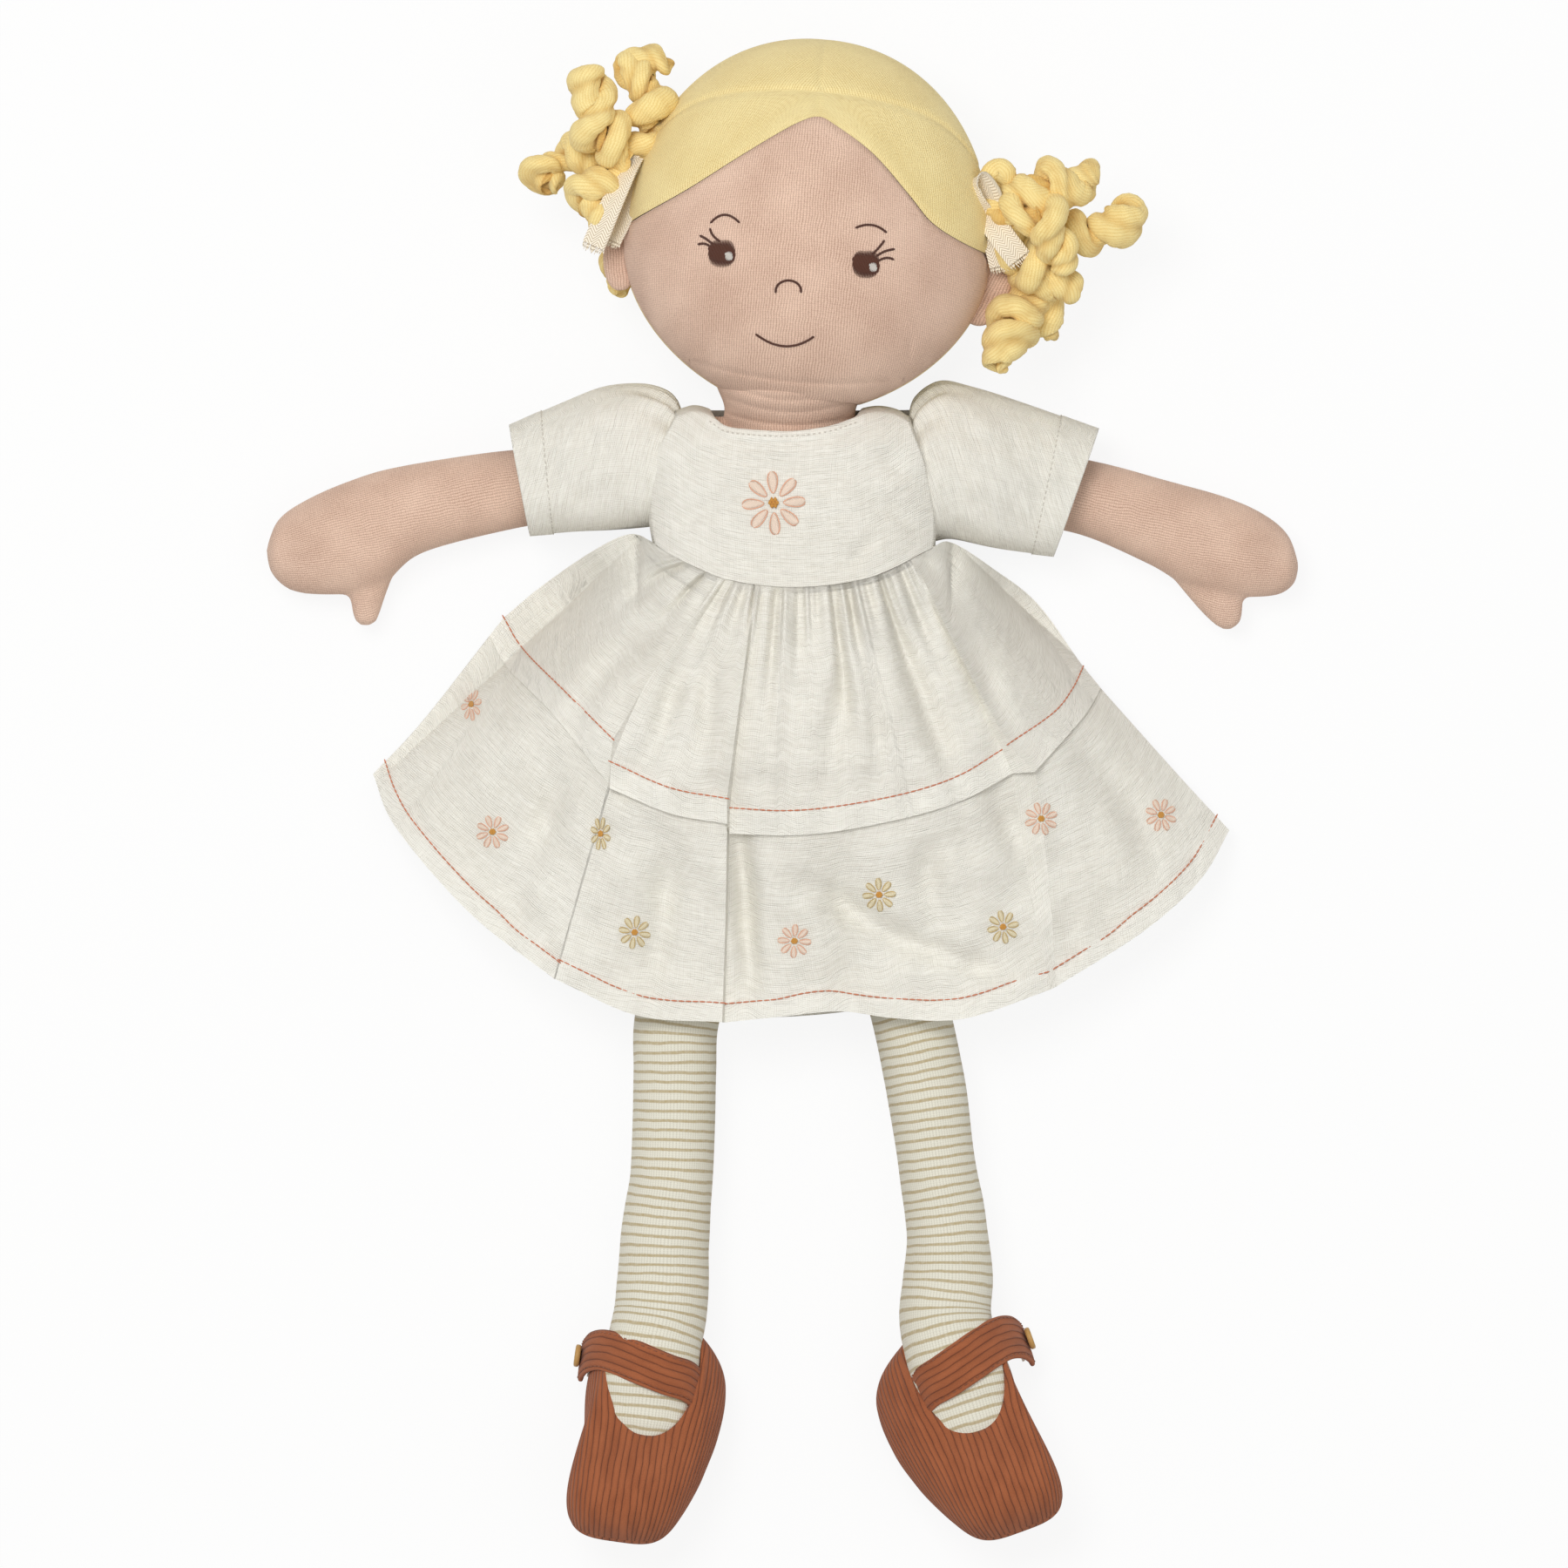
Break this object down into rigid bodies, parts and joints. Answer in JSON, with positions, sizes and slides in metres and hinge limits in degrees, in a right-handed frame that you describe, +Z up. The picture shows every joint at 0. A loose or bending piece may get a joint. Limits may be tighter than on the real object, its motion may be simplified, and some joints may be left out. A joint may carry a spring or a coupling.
{
  "type": "soft rag doll",
  "caption": "Soft cloth rag doll with an embroidered face, curled yellow pigtails, a linen dress with a tucked skirt, striped jersey legs and corduroy strap shoes.",
  "frame": {"origin": "middle of the doll's plan, on the surface it lies on", "axes": "+Y towards the crown of the head, +Z up out of the face, +X towards the doll's left hand"},
  "size_m": [0.292, 0.4222, 0.0765],
  "materials": {
    "skin_jersey": "matte ribbed cotton jersey",
    "hair_jersey": "matte ribbed cotton jersey",
    "curl_jersey": "matte twisted cotton jersey",
    "linen": "matte plain-woven linen",
    "striped_jersey": "matte striped cotton jersey",
    "corduroy": "matte corduroy",
    "cotton_tape": "matte herringbone cotton tape",
    "button": "satin"
  },
  "bodies": {
    "torso": {"torso": "skin_jersey", "bodice_front": "linen", "bodice_back_left": "linen", "bodice_back_right": "linen", "back_closure": "linen", "sleeve_left": "linen", "sleeve_right": "linen", "skirt_upper_front": "linen", "skirt_upper_back": "linen"},
    "neck": {"neck": "skin_jersey"},
    "head": {"head": "skin_jersey", "hair_front_left": "hair_jersey", "hair_front_right": "hair_jersey", "hair_back_left": "hair_jersey", "hair_back_right": "hair_jersey", "ear_left": "skin_jersey", "ear_right": "skin_jersey"},
    "pigtail_left": {"pigtail_root_left": "curl_jersey", "curl_left_1": "curl_jersey", "curl_left_2": "curl_jersey", "curl_left_3": "curl_jersey", "curl_left_4": "curl_jersey", "curl_left_5": "curl_jersey", "curl_left_6": "curl_jersey", "curl_left_7": "curl_jersey", "ribbon_wrap_left": "cotton_tape", "ribbon_tail_left_1": "cotton_tape", "ribbon_tail_left_2": "cotton_tape", "ribbon_loop_left": "cotton_tape"},
    "pigtail_right": {"pigtail_root_right": "curl_jersey", "curl_right_1": "curl_jersey", "curl_right_2": "curl_jersey", "curl_right_3": "curl_jersey", "curl_right_4": "curl_jersey", "curl_right_5": "curl_jersey", "ribbon_wrap_right": "cotton_tape", "ribbon_tail_right_1": "cotton_tape", "ribbon_tail_right_2": "cotton_tape"},
    "arm_left": {"arm_left": "skin_jersey", "cuff_left": "linen"},
    "arm_right": {"arm_right": "skin_jersey", "cuff_right": "linen"},
    "skirt": {"skirt_lower_front": "linen", "skirt_lower_back": "linen"},
    "leg_left": {"leg_left": "striped_jersey", "shoe_upper_left": "corduroy", "shoe_sole_left": "corduroy", "strap_pad_left": "linen"},
    "leg_right": {"leg_right": "striped_jersey", "shoe_upper_right": "corduroy", "shoe_sole_right": "corduroy", "strap_pad_right": "linen"},
    "strap_left": {"strap_left": "corduroy", "button_left": "button"},
    "strap_right": {"strap_right": "corduroy", "button_right": "button"}
  },
  "joints": [
    {"name": "neck_nod", "type": "hinge", "parent": "torso", "child": "neck", "pos_m": [0.0033, 0.1074, 0.034], "axis": [1, 0, 0], "range_deg": [-8, 12], "deforming": ["neck"]},
    {"name": "head_turn", "type": "hinge", "parent": "neck", "child": "head", "pos_m": [0.0033, 0.1102, 0.0255], "axis": [0, 1, 0], "range_deg": [-20, 20]},
    {"name": "pigtail_left_swing", "type": "hinge", "parent": "head", "child": "pigtail_left", "pos_m": [0.05676, 0.16676, 0.038], "axis": [0, 0, 1], "range_deg": [-4, 12], "deforming": ["pigtail_root_left"]},
    {"name": "pigtail_right_swing", "type": "hinge", "parent": "head", "child": "pigtail_right", "pos_m": [-0.03953, 0.17518, 0.038], "axis": [0, 0, 1], "range_deg": [-12, 2], "deforming": ["pigtail_root_right"]},
    {"name": "arm_left_forward", "type": "hinge", "parent": "torso", "child": "arm_left", "pos_m": [0.0421, 0.0894, 0.0132], "axis": [0, -1, 0], "range_deg": [-20, 60], "deforming": ["sleeve_left", "cuff_left"]},
    {"name": "arm_right_forward", "type": "hinge", "parent": "torso", "child": "arm_right", "pos_m": [-0.0355, 0.0894, 0.0132], "axis": [0, 1, 0], "range_deg": [-20, 60], "deforming": ["sleeve_right", "cuff_right"]},
    {"name": "sit", "type": "hinge", "parent": "torso", "child": "skirt", "pos_m": [0.0033, -0.0096, 0.0276], "axis": [-1, 0, 0], "range_deg": [-2, 60], "deforming": ["skirt_upper_front", "skirt_lower_front", "skirt_upper_back", "skirt_lower_back"]},
    {"name": "leg_left_splay", "type": "hinge", "parent": "skirt", "child": "leg_left", "pos_m": [0.0213, -0.0096, 0.0255], "axis": [0, 0, 1], "range_deg": [-2, 5]},
    {"name": "leg_right_splay", "type": "hinge", "parent": "skirt", "child": "leg_right", "pos_m": [-0.0147, -0.0096, 0.0255], "axis": [0, 0, 1], "range_deg": [-5, 2]},
    {"name": "strap_left_open", "type": "hinge", "parent": "leg_left", "child": "strap_left", "pos_m": [0.0343, -0.1775, 0.02053], "axis": [0.2962, -0.8138, 0.5], "range_deg": [0, 70]},
    {"name": "strap_right_open", "type": "hinge", "parent": "leg_right", "child": "strap_right", "pos_m": [-0.01799, -0.17448, 0.02053], "axis": [0.1205, 0.8576, -0.5], "range_deg": [0, 70]}
  ]
}
